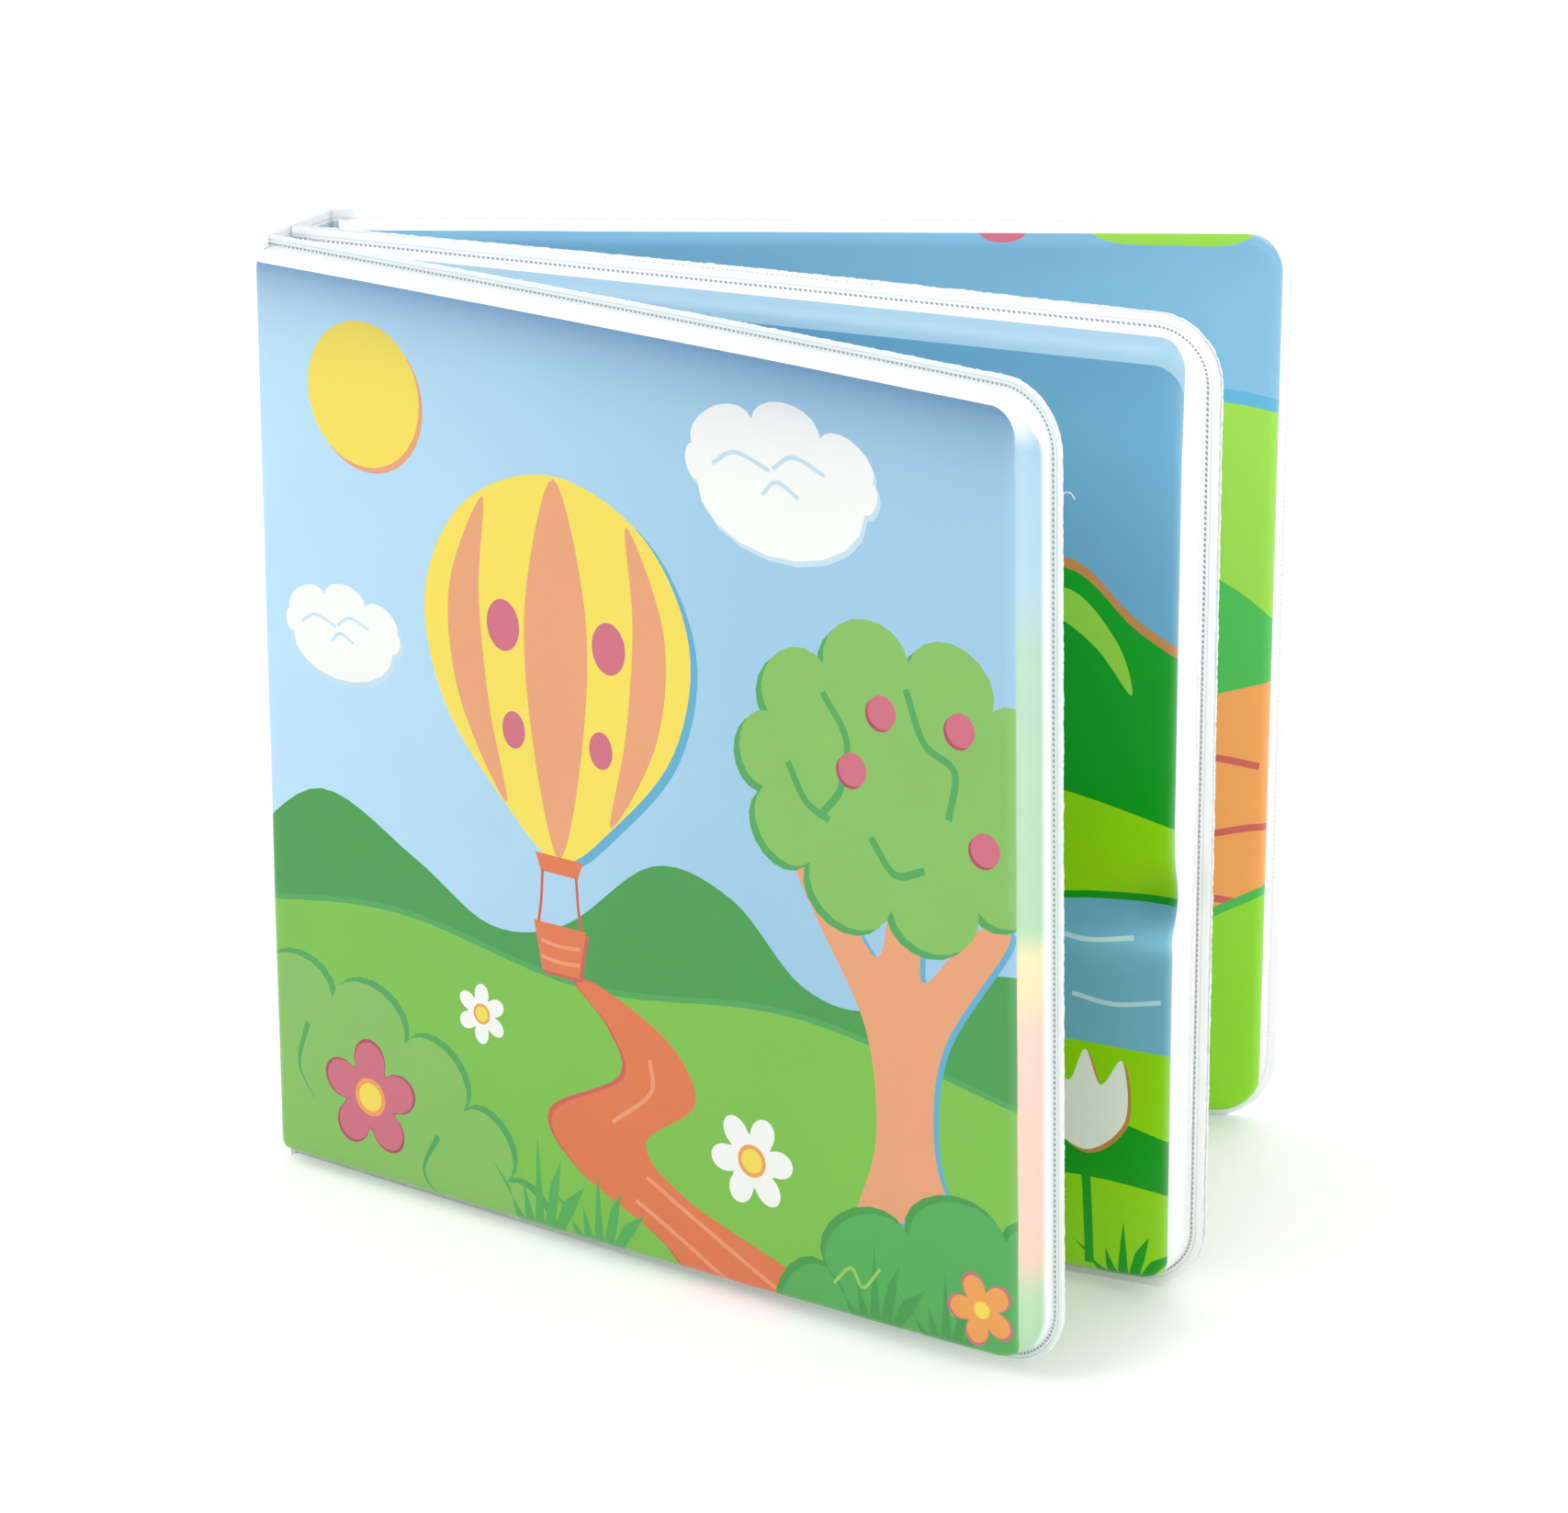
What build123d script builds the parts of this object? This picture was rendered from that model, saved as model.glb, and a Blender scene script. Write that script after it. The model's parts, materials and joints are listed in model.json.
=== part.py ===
from build123d import *
import os

# Soft bath book, standing on its lower edges with both covers swung open.
# Units are millimetres and +Z is up. +X runs from the spine to the fore edge of the
# pages and +Y runs from the front cover to the back cover. The origin is on the table,
# where the fold of the pages meets the inner face of the spine.

# Leaf sizes: every leaf is a foam pad sealed between two vinyl films
leaf_height = 140.0
leaf_width = 140.0
leaf_thickness = 5.6
film_thickness = 0.3
flange_width = 1.7
flange_corner_radius = 9.3
wall_lean = 1.0
face_corner_radius = 5.0
face_edge_radius = 1.2
pad_clearance = 0.1

# Binding sizes: the spread of pages is welded to the spine along its gutter
gutter_width = 2.0
page_setback = 0.6
page_gap = 0.4
cover_clearance = 0.4
spine_clearance = 0.4
hinge_standoff = 0.2

# How far each cover stands open, in degrees from closed
front_open = 13.3
back_open = 23.2

# Values that follow from the sizes above
flange_thickness = 2 * film_thickness
weld_corner_radius = flange_corner_radius - flange_width
page_face = page_gap / 2 + leaf_thickness
cover_face = page_face + cover_clearance + leaf_thickness

# Hinge lines: both run up the spine's outer face, just past its two long edges
hinge_line = -flange_thickness
front_hinge_offset = -page_face - hinge_standoff
back_hinge_offset = cover_face + hinge_standoff
front_cover_start = spine_clearance
back_cover_start = flange_thickness + spine_clearance

# Each leaf's plane: its flat film lies on the plane and its pad stands along the normal
front_hinge = Location((hinge_line, front_hinge_offset, 0), (0, 0, -front_open))
back_hinge = Location((hinge_line, back_hinge_offset, 0), (0, 0, back_open))
front_film = Plane.XZ.offset(cover_clearance - hinge_standoff)
back_film = Plane.XZ.offset(hinge_standoff)
front_plane = Plane(front_hinge * front_film.location)
back_plane = Plane(back_hinge * back_film.location)
near_page_plane = Plane(origin=(page_setback, -page_gap / 2, 0), x_dir=(1, 0, 0), z_dir=(0, -1, 0))


def outline(plane, start, inset, corner_radius):
    """Leaf outline set in from its cut edges: square at the spine, rounded at the fore edge."""
    width = leaf_width - inset - start
    height = leaf_height - 2 * inset
    with BuildSketch(plane) as shape:
        with Locations((start + width / 2, leaf_height / 2)):
            Rectangle(width, height)
        fillet(shape.vertices().sort_by(Axis.X)[-2:], corner_radius)
    return shape.sketch


def pillow(plane, start, setback):
    """Padded form over the plane: leaning walls, then a face with a rounded edge.

    setback is how far every surface lies inside the outside of the film.
    """
    base = outline(
        plane.offset(setback), start + setback, flange_width + setback, weld_corner_radius - setback
    )
    face = outline(
        plane.offset(leaf_thickness - setback),
        start + setback,
        flange_width + wall_lean + setback,
        face_corner_radius - setback,
    )
    with BuildPart() as form:
        loft([base, face])
        face_edges = form.faces().sort_by(Axis(plane.origin, plane.z_dir))[-1].edges()
        fillet(face_edges, face_edge_radius - setback)
    return form.part


def envelope_forms(plane, start):
    """The outside of one leaf's films over its pad, and the hollow that the pad fills."""
    return pillow(plane, start, 0), pillow(plane, start, film_thickness)


front_outside, front_hollow = envelope_forms(front_plane, front_cover_start)
back_outside, back_hollow = envelope_forms(back_plane, back_cover_start)
page_outside, page_hollow = envelope_forms(near_page_plane, gutter_width)
pad_setback = film_thickness + pad_clearance
front_pad_form = pillow(front_plane, front_cover_start, pad_setback)
back_pad_form = pillow(back_plane, back_cover_start, pad_setback)
page_pad_form = pillow(near_page_plane, gutter_width, pad_setback)

# Front cover: printed film outside, lining film inside, welded flat round its pad
with BuildPart() as front_cover:
    extrude(outline(front_plane, front_cover_start, 0, flange_corner_radius), flange_thickness)
    add(front_outside)
    add(front_hollow, mode=Mode.SUBTRACT)
front_cover.part.label = "front_cover"

with BuildPart() as front_cover_pad:
    add(front_pad_form)
front_cover_pad.part.label = "front_cover_pad"

# Back cover: the same leaf, with its flat film outside and its pad standing inwards
with BuildPart() as back_cover:
    extrude(outline(back_plane, back_cover_start, 0, flange_corner_radius), flange_thickness)
    add(back_outside)
    add(back_hollow, mode=Mode.SUBTRACT)
back_cover.part.label = "back_cover"

with BuildPart() as back_cover_pad:
    add(back_pad_form)
back_cover_pad.part.label = "back_cover_pad"

# Pages: one welded spread folded at the gutter, its two flat sides face to face
with BuildPart() as pages:
    extrude(outline(near_page_plane, -page_setback, 0, flange_corner_radius), flange_thickness)
    add(page_outside)
    add(page_hollow, mode=Mode.SUBTRACT)
    mirror(about=Plane.XZ)
    with BuildSketch(Plane.XY) as fold:
        with Locations((flange_thickness / 2, 0)):
            Rectangle(flange_thickness, page_gap)
    extrude(amount=leaf_height)
pages.part.label = "pages"

with BuildPart() as near_page_pad:
    add(page_pad_form)
near_page_pad.part.label = "near_page_pad"

with BuildPart() as far_page_pad:
    add(page_pad_form.mirror(Plane.XZ))
far_page_pad.part.label = "far_page_pad"

# Spine: the strip of cover film between the two hinge lines, films welded together
with BuildPart() as spine:
    with BuildSketch(Plane.XY) as strip:
        with Locations((-flange_thickness / 2, (cover_face - page_face) / 2)):
            Rectangle(flange_thickness, cover_face + page_face)
    extrude(amount=leaf_height)
spine.part.label = "spine"

os.makedirs("parts", exist_ok=True)
for piece in (
    front_cover,
    front_cover_pad,
    back_cover,
    back_cover_pad,
    pages,
    near_page_pad,
    far_page_pad,
    spine,
):
    export_step(piece.part, f"parts/{piece.part.label}.step")
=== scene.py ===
import json
import math

import bpy
import numpy as np
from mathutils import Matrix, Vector, geometry, noise


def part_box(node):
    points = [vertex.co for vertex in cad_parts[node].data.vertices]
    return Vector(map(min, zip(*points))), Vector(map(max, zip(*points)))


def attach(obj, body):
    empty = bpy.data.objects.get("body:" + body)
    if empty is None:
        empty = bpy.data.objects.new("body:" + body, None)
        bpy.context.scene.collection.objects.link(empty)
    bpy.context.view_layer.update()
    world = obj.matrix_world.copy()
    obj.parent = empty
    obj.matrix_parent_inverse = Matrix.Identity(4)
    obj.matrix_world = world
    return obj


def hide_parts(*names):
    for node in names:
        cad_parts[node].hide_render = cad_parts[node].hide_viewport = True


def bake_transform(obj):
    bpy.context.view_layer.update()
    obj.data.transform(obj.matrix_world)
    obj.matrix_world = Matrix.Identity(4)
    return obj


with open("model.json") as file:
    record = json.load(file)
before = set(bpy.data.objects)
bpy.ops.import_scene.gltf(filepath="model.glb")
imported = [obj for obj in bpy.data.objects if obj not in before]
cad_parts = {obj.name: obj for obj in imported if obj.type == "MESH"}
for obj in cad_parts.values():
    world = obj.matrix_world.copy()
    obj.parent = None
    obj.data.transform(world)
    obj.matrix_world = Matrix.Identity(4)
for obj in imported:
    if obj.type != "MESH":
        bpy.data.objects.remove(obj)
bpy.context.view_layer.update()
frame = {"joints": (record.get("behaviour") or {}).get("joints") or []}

# Camera: a long lens that looks down 18 degrees on the book, with the pages' fore edges to the right.
# The photograph is 1707 pixels wide, and its leaves give the focal length and the place.
camera_place = (0.3787, -0.668, 0.3081)
camera_tilt = math.radians(72.045)
camera_turn = math.radians(24.329)
camera_lens = 125.27


def add_object(name, data):
    """Puts an object into the scene, as the selected and active one."""
    made = bpy.data.objects.new(name, data)
    bpy.context.scene.collection.objects.link(made)
    bpy.ops.object.select_all(action="DESELECT")
    made.select_set(True)
    bpy.context.view_layer.objects.active = made
    return made


lens = bpy.data.cameras.new("camera")
lens.lens = camera_lens
camera = add_object("camera", lens)
camera.location = camera_place
camera.rotation_euler = (camera_tilt, 0, camera_turn)
bpy.context.scene.camera = camera
bpy.context.scene.view_settings.view_transform = "Standard"


# Studio: a white table under white softboxes, as product pictures are lit.
# The vinyl mirrors an even, pale room, which the camera sees as white.
def node(tree, kind, settings=None, **sockets):
    """Adds one shader node, with its settings and its values or links."""
    made = tree.nodes.new("ShaderNode" + kind)
    for key, value in (settings or {}).items():
        setattr(made, key, value)
    for key, value in sockets.items():
        socket = made.inputs[int(key[1:])] if key[1:].isdigit() else made.inputs[key.replace("_", " ")]
        if isinstance(value, bpy.types.NodeSocket):
            tree.links.new(value, socket)
        else:
            socket.default_value = value
    return made


def maths(tree, operation, first, second=0.0):
    """The output of one maths node."""
    return node(tree, "Math", {"operation": operation}, _0=first, _1=second).outputs[0]


def graded(tree, value, low, high):
    """A value from 0 to 1, spread from low to high."""
    return node(tree, "MapRange", _0=value, _3=low, _4=high).outputs[0]


def grey(tree, level):
    return node(tree, "CombineColor", _0=level, _1=level, _2=level).outputs[0]


def linear(hex_colour):
    """An sRGB hex colour as linear RGBA."""
    channels = [int(hex_colour[i:i + 2], 16) / 255 for i in (1, 3, 5)]
    return [c / 12.92 if c <= 0.04045 else ((c + 0.055) / 1.055) ** 2.4 for c in channels] + [1.0]


def new_material(name):
    """A material with an empty node tree, and the tree."""
    material = bpy.data.materials.new(name)
    material.use_nodes = True
    material.node_tree.nodes.clear()
    return material, material.node_tree


room_level = 0.72
world = bpy.data.worlds.new("studio")
bpy.context.scene.world = world
world.use_nodes = True
sky = world.node_tree
sky.nodes.clear()
ray = node(sky, "LightPath")
bare = maths(sky, "MAXIMUM", ray.outputs["Is Camera Ray"], ray.outputs["Is Transmission Ray"])
room = node(sky, "Background", Color=(1, 1, 1, 1), Strength=graded(sky, bare, room_level, 1.0))
node(sky, "OutputWorld", Surface=room.outputs[0])

softboxes = (
    ("key_softbox", (-0.55, -1.0, 1.15), 0.9, 9.0),
    ("fill_softbox", (1.3, -0.7, 0.7), 1.0, 7.0),
    ("back_softbox", (0.2, 1.3, 1.1), 1.2, 7.0),
)
book_middle = Vector((0.06, 0.0, 0.07))
for name, place, size, watts in softboxes:
    lamp = bpy.data.lights.new(name, "AREA")
    lamp.size = size
    lamp.energy = watts
    softbox = add_object(name, lamp)
    softbox.location = place
    softbox.rotation_euler = (book_middle - Vector(place)).to_track_quat("-Z", "Y").to_euler()

bpy.ops.mesh.primitive_plane_add(size=8, location=(0, 0, 0))
table = bpy.context.active_object
table.name = "table"
table_glow = 0.18
paper, tree = new_material("white_paper_table")
ray = node(tree, "LightPath")
seen = maths(tree, "MAXIMUM", ray.outputs["Is Camera Ray"], ray.outputs["Is Glossy Ray"])
grain = node(tree, "TexNoise", Scale=900.0)
matte = node(tree, "BsdfDiffuse", Color=grey(tree, graded(tree, grain.outputs[0], 0.93, 0.97)))
glow = node(tree, "Emission", Color=(1, 1, 1, 1), Strength=maths(tree, "MULTIPLY", seen, table_glow))
both = node(tree, "AddShader", _0=matte.outputs[0], _1=glow.outputs[0])
node(tree, "OutputMaterial", Surface=both.outputs[0])
table.data.materials.append(paper)


# Front cover: a thin foam pad sealed between a printed vinyl film, domed over it, and a flat lining
# film. The two films are heat-welded round the three free sides, and the weld shows as a fine
# knurled line inside the cut edge. The films replace the plain envelope of the CAD model.
leaf_height = 1000 * (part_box("pages")[1].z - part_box("pages")[0].z)
page_setback = 0.6
leaf_width = 1000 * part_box("pages")[1].x - page_setback
page_face = 1000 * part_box("pages")[1].y
cover_face = 1000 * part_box("spine")[1].y
film_gap = 0.4
leaf_thickness = cover_face - page_face - film_gap
flange = 1.7
flange_thickness = 0.6
cut_corner = 9.3
corner_arc = 14.0
weld_corner = 7.6
face_corner = 4.8
wall = 2.6
spine_wall = 2.4
crown = 0.3
weld_line = 1.25
weld_width = 0.17
grid_step = 2.4
station_step = 0.45
white_film = np.array(linear("#FBFCFC"))
joints = {joint["name"]: joint for joint in frame["joints"]}


class Leaf:
    """Where one leaf stands: its flat film's plane, the side its pad domes to, and how far it is open.

    buckle is the depth of the hollow at its fore edge, rim_extra is how much wider its rim is than the
    covers' rims, and back_line is the inset of the knurled line on its flat film.
    """

    def __init__(self, flat, side, start, pad_start, joint=None, warp=None, top_wall=wall):
        self.flat = flat
        self.side = side
        self.start = start
        self.pad_start = pad_start
        self.hinge = [1000 * c for c in joints[joint]["pos_m"]] if joint else [page_setback, 0.0, 0.0]
        turn = joints[joint]["range_deg"][0] * joints[joint]["axis"][2] if joint else 0.0
        self.turn = -math.radians(turn)
        self.warp = warp
        self.top_wall = top_wall
        self.buckle = 0.0
        self.rim_extra = 0.0
        self.back_line = weld_line

    def place(self, u, v, n):
        """Points on the leaf, in millimetres along, up and out from the flat film, as points in metres."""
        if self.warp:
            u, v, n = self.warp(u, v, n)
        across = self.flat + self.side * n - self.hinge[1]
        x = u * math.cos(self.turn) - across * math.sin(self.turn) + self.hinge[0]
        y = u * math.sin(self.turn) + across * math.cos(self.turn) + self.hinge[1]
        return np.stack([x, y, v], axis=1) / 1000


def edge_path(inset, start, step, head=None, foot=None, corner=None):
    """Stations along the three free sides at one inset, from the spine's foot round to its head."""
    corner = corner or float(corner_at(inset))
    right = leaf_width - inset
    top = leaf_height - (inset if head is None else head)
    low = inset if foot is None else foot
    runs = [np.linspace((start, low), (right - corner, low), round(leaf_width / step), endpoint=False)]
    for middle, first in (((right - corner, low + corner), -90), ((right - corner, top - corner), 0)):
        angles = np.radians(np.linspace(first, first + 90, round(corner_arc / step), endpoint=False))
        runs.append(np.array(middle) + corner * np.stack([np.cos(angles), np.sin(angles)], axis=1))
        if first == -90:
            runs.append(np.linspace((right, low + corner), (right, top - corner),
                                    round(leaf_height / step), endpoint=False))
    runs.append(np.linspace((right - corner, top), (start, top), round(leaf_width / step) + 1))
    return np.concatenate(runs)


def along(path):
    """How far along a path each of its points lies."""
    return np.concatenate([[0], np.cumsum(np.linalg.norm(np.diff(path, axis=0), axis=1))])


def corner_at(inset):
    """The outline's corner radius: it tightens from the cut edge, over the weld, to the padded face."""
    insets = [0, flange, flange + 1.2, flange + 6]
    return np.interp(inset, insets, [cut_corner, weld_corner, face_corner, 2.0])


def inset_of(u, v):
    """How far inside the cut edge each point lies, measured through outlines of changing corner."""
    low = np.full(len(u), -2.0)
    high = np.full(len(u), leaf_height / 2)
    for _ in range(30):
        middle = (low + high) / 2
        corner = np.where(middle < 0, cut_corner, corner_at(middle))
        over_u = np.maximum(u - (leaf_width - middle - corner), 0)
        over_v = np.maximum(np.abs(v - leaf_height / 2) - (leaf_height / 2 - middle - corner), 0)
        inside = np.hypot(over_u, over_v) < corner
        low = np.where(inside, middle, low)
        high = np.where(inside, high, middle)
    return (low + high) / 2


def rise(share, power=2.7):
    """A pad's edge: steep at the weld and rounding over to level at a share of 1."""
    share = np.clip(share, 0, 1)
    return (1 - (1 - share) ** power) ** (1 / power)


def waves(u, v, size, seed):
    """Smooth unevenness from -1 to 1, with hollows and swells of about size millimetres."""
    return np.array([noise.noise(Vector((a / size, b / size, seed))) for a, b in zip(u, v)])


def buckle_at(leaf, u, v):
    """The hollow and the raised fold of a leaf's shallow buckle, each from 0 to 1, at its fore edge."""
    reach = np.clip((u - leaf_width + 26) / 18, 0, 1) ** 1.5
    slant = v - 0.16 * (u - leaf_width)
    return reach * np.exp(-((slant - 60) / 4.5) ** 2), reach * np.exp(-((slant - 54.5) / 2.2) ** 2)


def padded_height(leaf, u, v, inset, seed):
    """Height over the flat film: welded flange, pad wall, and a gently crowned and uneven face."""
    top = np.interp(v, [leaf_height - 20, leaf_height - 4], [1, leaf.top_wall / wall])
    inset = inset - leaf.rim_extra
    share = (inset - flange) / (wall * np.where(v > leaf_height / 2, top, 1.0))
    spine_share = (u - leaf.pad_start) / spine_wall
    far_u = np.clip((2 * u - leaf_width) / leaf_width, -1, 1)
    far_v = np.clip((2 * v - leaf_height) / leaf_height, -1, 1)
    face = leaf_thickness - crown * (1 - (1 - far_u ** 4) * (1 - far_v ** 4))
    face -= 0.12 + 0.12 * waves(u, v, 26, seed)
    pucker = np.exp(-np.maximum(inset - flange - wall, 0) / 4)
    face -= 0.16 * pucker * (1 + waves(u, v, 7, seed + 3)) / 2
    hollow, fold = buckle_at(leaf, u, v)
    face -= leaf.buckle * (1.2 * hollow - 0.5 * fold)
    height = flange_thickness + (face - flange_thickness) * rise(share) * rise(spine_share, 2.2)
    groove = 0.16 * np.exp(-((inset - weld_line) / weld_width) ** 2)
    return height - np.where(inset < flange, groove, 0)


def inside(points, outline):
    """Which points lie inside a closed outline, by counting crossings."""
    hit = np.zeros(len(points), bool)
    low, high = outline.min(0), outline.max(0)
    near = np.where(((points >= low) & (points <= high)).all(1))[0]
    x, y = points[near, 0], points[near, 1]
    found = np.zeros(len(near), bool)
    for a, b in zip(outline, np.roll(outline, -1, axis=0)):
        if a[1] == b[1]:
            continue
        spans = (a[1] > y) != (b[1] > y)
        found ^= spans & (x < (b[0] - a[0]) * (y - a[1]) / (b[1] - a[1]) + a[0])
    hit[near] = found
    return hit


def clipped(shape, frame_outline):
    """The part of a shape inside a convex outline that runs counter-clockwise."""
    points = [tuple(p) for p in shape]
    for a, b in zip(frame_outline, np.roll(frame_outline, -1, axis=0)):
        kept = []
        across = (b[1] - a[1], a[0] - b[0])
        depth = [(p[0] - a[0]) * across[0] + (p[1] - a[1]) * across[1] for p in points]
        for i, p in enumerate(points):
            before = depth[i - 1]
            if (depth[i] <= 0) != (before <= 0):
                share = before / (before - depth[i])
                q = points[i - 1]
                kept.append((q[0] + share * (p[0] - q[0]), q[1] + share * (p[1] - q[1])))
            if depth[i] <= 0:
                kept.append(p)
        points = kept
        if not points:
            break
    return np.array(points).reshape(-1, 2)


def triangulated(verts, edges):
    """A flat sheet cut along the edges: its points, its triangles and each point's sources in verts."""
    made = geometry.delaunay_2d_cdt([Vector(p) for p in verts], edges, [], 0, 1e-4, True)
    return np.array([tuple(p) for p in made[0]]), np.array(made[2]), made[3]


def printed(verts, edges, print_edge, art, ground):
    """Cuts a flat film along the edges of its printed shapes and gives every triangle its ink."""
    shapes = [(ink, clipped(shape, print_edge)) for ink, shape in art]
    shapes = [(ink, cut) for ink, cut in shapes if len(cut) > 2]
    for ink, cut in shapes:
        first = len(verts)
        verts += [tuple(p) for p in cut]
        edges += [(first + i, first + (i + 1) % len(cut)) for i in range(len(cut))]
    flat, triangles, sources = triangulated(verts, edges)
    middle = flat[triangles].mean(axis=1)
    colours = np.tile(ground, (len(triangles), 1))
    for ink, cut in shapes:
        colours[inside(middle, cut)] = ink
    return flat, triangles, sources, colours, middle


def add_line(verts, edges, path):
    """Adds a path's points, and the edges along it."""
    edges.extend((len(verts) + i, len(verts) + i + 1) for i in range(len(path) - 1))
    verts.extend(tuple(p) for p in path)


def film_lines(leaf, padded, borders):
    """The points and edges that a film is cut along, with each point's run along the cut edge."""
    rings = [0.0, 0.45, 1.1, weld_line, 1.4, flange, flange + 2.0]
    if padded:
        rings = [0.0, 0.45, 0.95, 1.1, weld_line, 1.4, 1.55, flange]
        rings += [flange + wall * share for share in (0.012, 0.05, 0.12, 0.22, 0.36, 0.54, 0.76, 1.0)]
        rings += [flange + wall + 1.5, flange + wall + 3.5]
    verts, edges, run = [], [], []
    rim = edge_path(0.0, leaf.start, station_step)
    lengths = along(rim)
    for ring in rings:
        inset = ring + leaf.rim_extra * (ring > 0.5)
        step = station_step if inset == 0.0 else 2 * station_step
        path = edge_path(inset, leaf.start, step)
        add_line(verts, edges, path)
        run += list(np.interp(np.linspace(0, 1, len(path)), np.linspace(0, 1, len(rim)), lengths))
        if inset == 0.0:
            edges.append((len(rim) - 1, 0))
    for border in borders:
        add_line(verts, edges, border)
    if padded:
        for share in (0.012, 0.05, 0.12, 0.24, 0.42, 0.7, 1.0):
            line_u = leaf.pad_start + spine_wall * share
            add_line(verts, edges, [(line_u, line_v) for line_v in np.arange(1.0, leaf_height - 0.5, 1.5)])
    for grid_u in np.arange(leaf.pad_start + 4.0, leaf_width - flange - wall - 4.0, grid_step):
        for grid_v in np.arange(flange + wall + 5.0, leaf_height - flange - wall - 4.0, grid_step):
            verts.append((grid_u, grid_v))
    return verts, edges, run, len(rim)


def painted_ink_light(leaf, u, v, head, gain, painted_head_shade):
    """Painted light and shade on the inks: gain for light through the film, painted shade under the head
    and in the buckle's hollow, and a painted highlight along its fold.
    """
    shade = painted_head_shade * np.exp(-np.maximum(leaf_height - head - v, 0) / 5.5)
    painted_lightness = gain * (1 - shade[:, None] * (1.15, 1.0, 0.78, 0.0))
    hollow, fold = buckle_at(leaf, u, v)
    painted_lightness *= (1 + leaf.buckle * (0.24 * fold - 0.16 * hollow))[:, None]
    return painted_lightness, leaf.buckle * 0.05 * fold


def wall_shades(v, glow, share):
    """The pale ink on a pad's wall, from a list of heights and colours, over the white film."""
    heights = [height for height, _ in glow]
    pales = np.array([linear(pale) for _, pale in glow])
    at_height = np.stack([np.interp(v, heights, channel) for channel in pales.T], axis=1)
    return white_film + (at_height - white_film) * share[:, None]


def film_side(leaf, art, ground, padded, seed, face=(4.0, 2.9, 1.74), tint=(1.72, 1.9, 1.72),
              glow=((0.0, "#FFFFFF"),), glow_from=-30.0, line=0.85, gain=1.0, painted_head_shade=0.15,
              rim_colour=white_film):
    """One film of a leaf: its points, triangles, colours and weld measures, printed with flat shapes.

    face and tint are the insets at the fore edge, head and foot where the full ink and the pale ink on
    the pad's wall end. glow lists the wall's pale ink by height, from glow_from on along the leaf, and
    line is how dark the weld line is. ground names one ink, or those at the spine and the fore edge.
    gain is painted light, how strongly light shows through the inks, and the head shade is painted shade
    that darkens the inks under the head. The rim colour is the film's linear colour on the welded rim:
    painted shade on the front cover and painted light on the near page.
    """
    ground = [inks[name] for name in ground]
    if not padded:
        face = tint = (flange, flange, flange)
    borders = [edge_path(fore, leaf.start, 2 * station_step, head, foot)
               for fore, head, foot in (face, tint)]
    verts, edges, run, rim_count = film_lines(leaf, padded, borders)
    print_edge = edge_path(flange + 0.02, leaf.start, 2 * station_step, corner=weld_corner - 0.02)
    flat, triangles, sources, colours, middle = printed(verts, edges, print_edge, art, ground[0])
    u, v = flat[:, 0], flat[:, 1]
    inset = inset_of(u, v)
    rim_at = {}
    run_at = np.zeros(len(flat))
    for index, source in enumerate(sources):
        rim_at.update({original: index for original in source if original < rim_count})
        if source and source[0] < len(run):
            run_at[index] = run[source[0]]

    outlines = [np.concatenate([[(-9.0, path[0][1])], path, [(-9.0, path[-1][1])]]) for path in borders]
    full_ink = inside(middle, outlines[0])
    pale_ink = inside(middle, outlines[1]) & ~full_ink
    corner_colours = np.repeat(colours[:, None, :], 3, axis=1)
    open_sky = (colours == ground[0]).all(axis=1)
    far_share = np.clip(u / leaf_width * 1.5, 0, 1)[:, None]
    sky_at = (1 - far_share) * ground[0] + far_share * ground[-1]
    corner_colours[open_sky] = sky_at[triangles[open_sky]]
    # Painted light and shade: the inks are scaled by gain, darkened under the head and in the buckle's
    # hollow, and whitened along its fold as a painted highlight.
    painted_lightness, painted_fold_highlight = painted_ink_light(leaf, u, v, face[1], gain, painted_head_shade)
    corner_colours *= painted_lightness[triangles]
    corner_colours += (white_film - corner_colours) * padded * painted_fold_highlight[triangles][:, :, None]
    corner_colours[~(full_ink | pale_ink)] = white_film
    # The welded rim takes the rim colour, painted shade on the front cover and painted light on the near
    # page.
    corner_colours[inset[triangles].mean(axis=1) < flange + leaf.rim_extra] = rim_colour
    share = np.clip((u - glow_from) / 10, 0, 1) * np.clip((inset - flange) / 0.12, 0.1, 1)
    if glow_from > 0:
        share *= np.clip((leaf_height - 3 - v) / 5, 0.15, 1)
    corner_colours[pale_ink] = wall_shades(v, glow, share)[triangles[pale_ink]]
    # Painted light: the full ink is whitened by up to 0.15 towards the face's fore edge.
    painted_edge_light = np.exp(-np.maximum(leaf_width - u - face[0], 0) / 0.35) * 0.15 * padded
    corner_colours += (white_film - corner_colours) * (painted_edge_light[triangles] * full_ink[:, None])[:, :, None]
    corner_colours[:, :, 3] = line

    if padded:
        height = padded_height(leaf, u, v, inset, seed)
    else:
        height = 0.10 * np.exp(-((inset - leaf.back_line) / weld_width) ** 2)
    ruffle = 0.08 * waves(u, v, 2.1, seed + 9) + 0.15 * waves(u, v, 0.62, seed + 12)
    ruffle *= (inset < 0.2) & (u > leaf.start + 3)
    u = u + ruffle * np.where(u > leaf_width - 3, 1, np.where(u < 3, -1, 0))
    v = v + ruffle * np.where(v > leaf_height - 3, 1, np.where(v < 3, -1, 0))
    if (not padded) == (leaf.side < 0):
        triangles = triangles[:, ::-1]
        corner_colours = corner_colours[:, ::-1]
    return {
        "points": leaf.place(u, v, height),
        "flat": np.stack([u, v], axis=1),
        "triangles": triangles,
        "colours": corner_colours,
        "inset": inset - leaf.rim_extra if padded else inset + weld_line - leaf.back_line,
        "run": run_at,
        "rim": [rim_at[i] for i in range(rim_count)],
    }


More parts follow.
